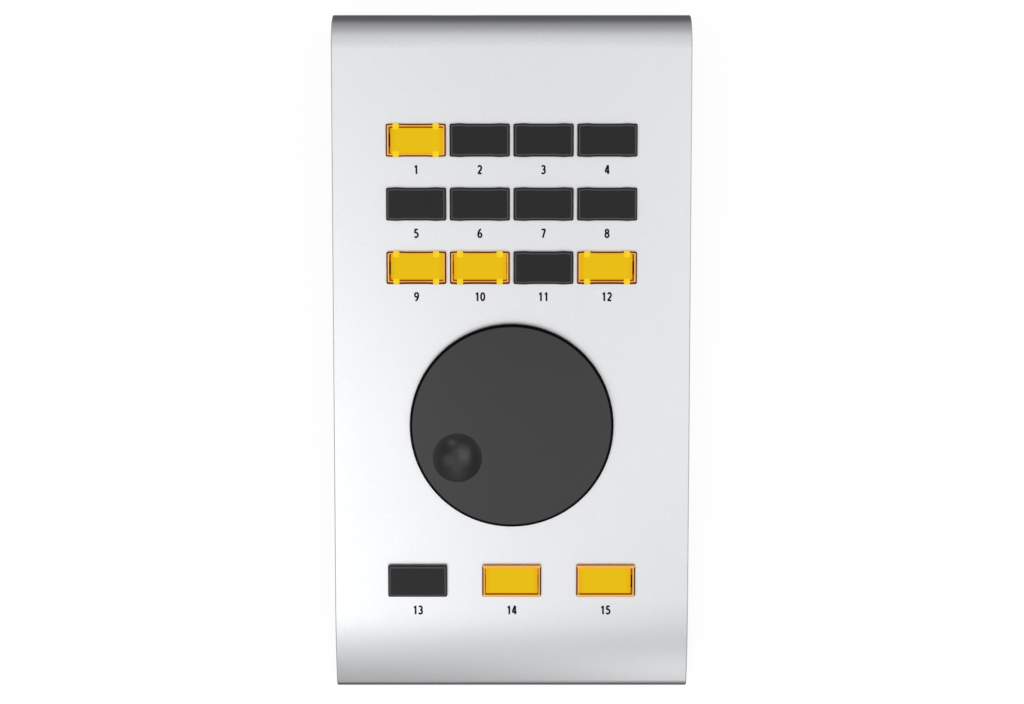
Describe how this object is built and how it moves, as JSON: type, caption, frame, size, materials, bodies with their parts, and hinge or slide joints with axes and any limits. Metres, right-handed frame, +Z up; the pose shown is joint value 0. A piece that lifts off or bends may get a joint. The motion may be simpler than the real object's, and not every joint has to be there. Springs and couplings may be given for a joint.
{
  "type": "audio interface controller",
  "caption": "Sloping desktop controller with a grid of lit push buttons, a large flat jog wheel with a finger dimple, and a front row of buttons.",
  "frame": {"origin": "middle of the bounding box's base: on the desk, under the middle of the case, between the feet", "axes": "+X right and +Y to the rear as the user sits in front of it, +Z up; the panel rises 6 degrees towards the rear"},
  "size_m": [0.105, 0.2017, 0.0334],
  "materials": {
    "anodised_aluminium": "bead-blasted and clear anodised",
    "powder_coat": "fine black powder coat on bent steel",
    "smoke_cap": "smoked polycarbonate, unlit",
    "amber_cap": "smoked polycarbonate lit amber from inside",
    "wheel_plastic": "fine-textured dark grey ABS",
    "foot_rubber": "matt moulded rubber",
    "board_laminate": "green solder mask on glass-epoxy laminate",
    "plated_steel": "bright zinc or nickel plate",
    "black_plastic": "black moulded thermoplastic",
    "white_plastic": "natural white moulded thermoplastic"
  },
  "bodies": {
    "root": {"top_cover": "anodised_aluminium", "base_tray": "powder_coat", "foot_front_left": "foot_rubber", "foot_front_right": "foot_rubber", "foot_rear_left": "foot_rubber", "foot_rear_right": "foot_rubber", "case_screw_front_left": "plated_steel", "case_screw_front_right": "plated_steel", "case_screw_rear_left": "plated_steel", "case_screw_rear_right": "plated_steel", "control_board": "board_laminate", "board_spacer_front_left": "plated_steel", "board_spacer_front_right": "plated_steel", "board_spacer_rear_left": "plated_steel", "board_spacer_rear_right": "plated_steel", "board_screw_front_left": "plated_steel", "board_screw_front_right": "plated_steel", "board_screw_rear_left": "plated_steel", "board_screw_rear_right": "plated_steel", "controller_chip": "black_plastic", "switch_01": "black_plastic", "switch_02": "black_plastic", "switch_03": "black_plastic", "switch_04": "black_plastic", "switch_05": "black_plastic", "switch_06": "black_plastic", "switch_07": "black_plastic", "switch_08": "black_plastic", "switch_09": "black_plastic", "switch_10": "black_plastic", "switch_11": "black_plastic", "switch_12": "black_plastic", "switch_13": "black_plastic", "switch_14": "black_plastic", "switch_15": "black_plastic", "encoder_body": "black_plastic", "encoder_washer": "plated_steel", "encoder_nut": "plated_steel", "usb_shell": "plated_steel", "usb_insert": "white_plastic", "jack_body": "black_plastic"},
    "wheel": {"jog_wheel": "wheel_plastic", "encoder_shaft": "plated_steel"},
    "cap_01": {"button_01": "amber_cap"},
    "cap_02": {"button_02": "smoke_cap"},
    "cap_03": {"button_03": "smoke_cap"},
    "cap_04": {"button_04": "smoke_cap"},
    "cap_05": {"button_05": "smoke_cap"},
    "cap_06": {"button_06": "smoke_cap"},
    "cap_07": {"button_07": "smoke_cap"},
    "cap_08": {"button_08": "smoke_cap"},
    "cap_09": {"button_09": "amber_cap"},
    "cap_10": {"button_10": "amber_cap"},
    "cap_11": {"button_11": "smoke_cap"},
    "cap_12": {"button_12": "amber_cap"},
    "cap_13": {"button_13": "smoke_cap"},
    "cap_14": {"button_14": "amber_cap"},
    "cap_15": {"button_15": "amber_cap"}
  },
  "joints": [
    {"name": "wheel_spin", "type": "hinge", "parent": "root", "child": "wheel", "pos_m": [0, -0.02194, 0.02189], "axis": [0, -0.1045, 0.9945], "continuous": true},
    {"name": "press_01", "type": "slide", "parent": "root", "child": "cap_01", "axis": [0, -0.1045, 0.9945], "range_m": [-0.0005, 0], "stiffness_N_per_m": 300, "springref_m": 0.003},
    {"name": "press_02", "type": "slide", "parent": "root", "child": "cap_02", "axis": [0, -0.1045, 0.9945], "range_m": [-0.0005, 0], "stiffness_N_per_m": 300, "springref_m": 0.003},
    {"name": "press_03", "type": "slide", "parent": "root", "child": "cap_03", "axis": [0, -0.1045, 0.9945], "range_m": [-0.0005, 0], "stiffness_N_per_m": 300, "springref_m": 0.003},
    {"name": "press_04", "type": "slide", "parent": "root", "child": "cap_04", "axis": [0, -0.1045, 0.9945], "range_m": [-0.0005, 0], "stiffness_N_per_m": 300, "springref_m": 0.003},
    {"name": "press_05", "type": "slide", "parent": "root", "child": "cap_05", "axis": [0, -0.1045, 0.9945], "range_m": [-0.0005, 0], "stiffness_N_per_m": 300, "springref_m": 0.003},
    {"name": "press_06", "type": "slide", "parent": "root", "child": "cap_06", "axis": [0, -0.1045, 0.9945], "range_m": [-0.0005, 0], "stiffness_N_per_m": 300, "springref_m": 0.003},
    {"name": "press_07", "type": "slide", "parent": "root", "child": "cap_07", "axis": [0, -0.1045, 0.9945], "range_m": [-0.0005, 0], "stiffness_N_per_m": 300, "springref_m": 0.003},
    {"name": "press_08", "type": "slide", "parent": "root", "child": "cap_08", "axis": [0, -0.1045, 0.9945], "range_m": [-0.0005, 0], "stiffness_N_per_m": 300, "springref_m": 0.003},
    {"name": "press_09", "type": "slide", "parent": "root", "child": "cap_09", "axis": [0, -0.1045, 0.9945], "range_m": [-0.0005, 0], "stiffness_N_per_m": 300, "springref_m": 0.003},
    {"name": "press_10", "type": "slide", "parent": "root", "child": "cap_10", "axis": [0, -0.1045, 0.9945], "range_m": [-0.0005, 0], "stiffness_N_per_m": 300, "springref_m": 0.003},
    {"name": "press_11", "type": "slide", "parent": "root", "child": "cap_11", "axis": [0, -0.1045, 0.9945], "range_m": [-0.0005, 0], "stiffness_N_per_m": 300, "springref_m": 0.003},
    {"name": "press_12", "type": "slide", "parent": "root", "child": "cap_12", "axis": [0, -0.1045, 0.9945], "range_m": [-0.0005, 0], "stiffness_N_per_m": 300, "springref_m": 0.003},
    {"name": "press_13", "type": "slide", "parent": "root", "child": "cap_13", "axis": [0, -0.1045, 0.9945], "range_m": [-0.0005, 0], "stiffness_N_per_m": 300, "springref_m": 0.003},
    {"name": "press_14", "type": "slide", "parent": "root", "child": "cap_14", "axis": [0, -0.1045, 0.9945], "range_m": [-0.0005, 0], "stiffness_N_per_m": 300, "springref_m": 0.003},
    {"name": "press_15", "type": "slide", "parent": "root", "child": "cap_15", "axis": [0, -0.1045, 0.9945], "range_m": [-0.0005, 0], "stiffness_N_per_m": 300, "springref_m": 0.003}
  ]
}
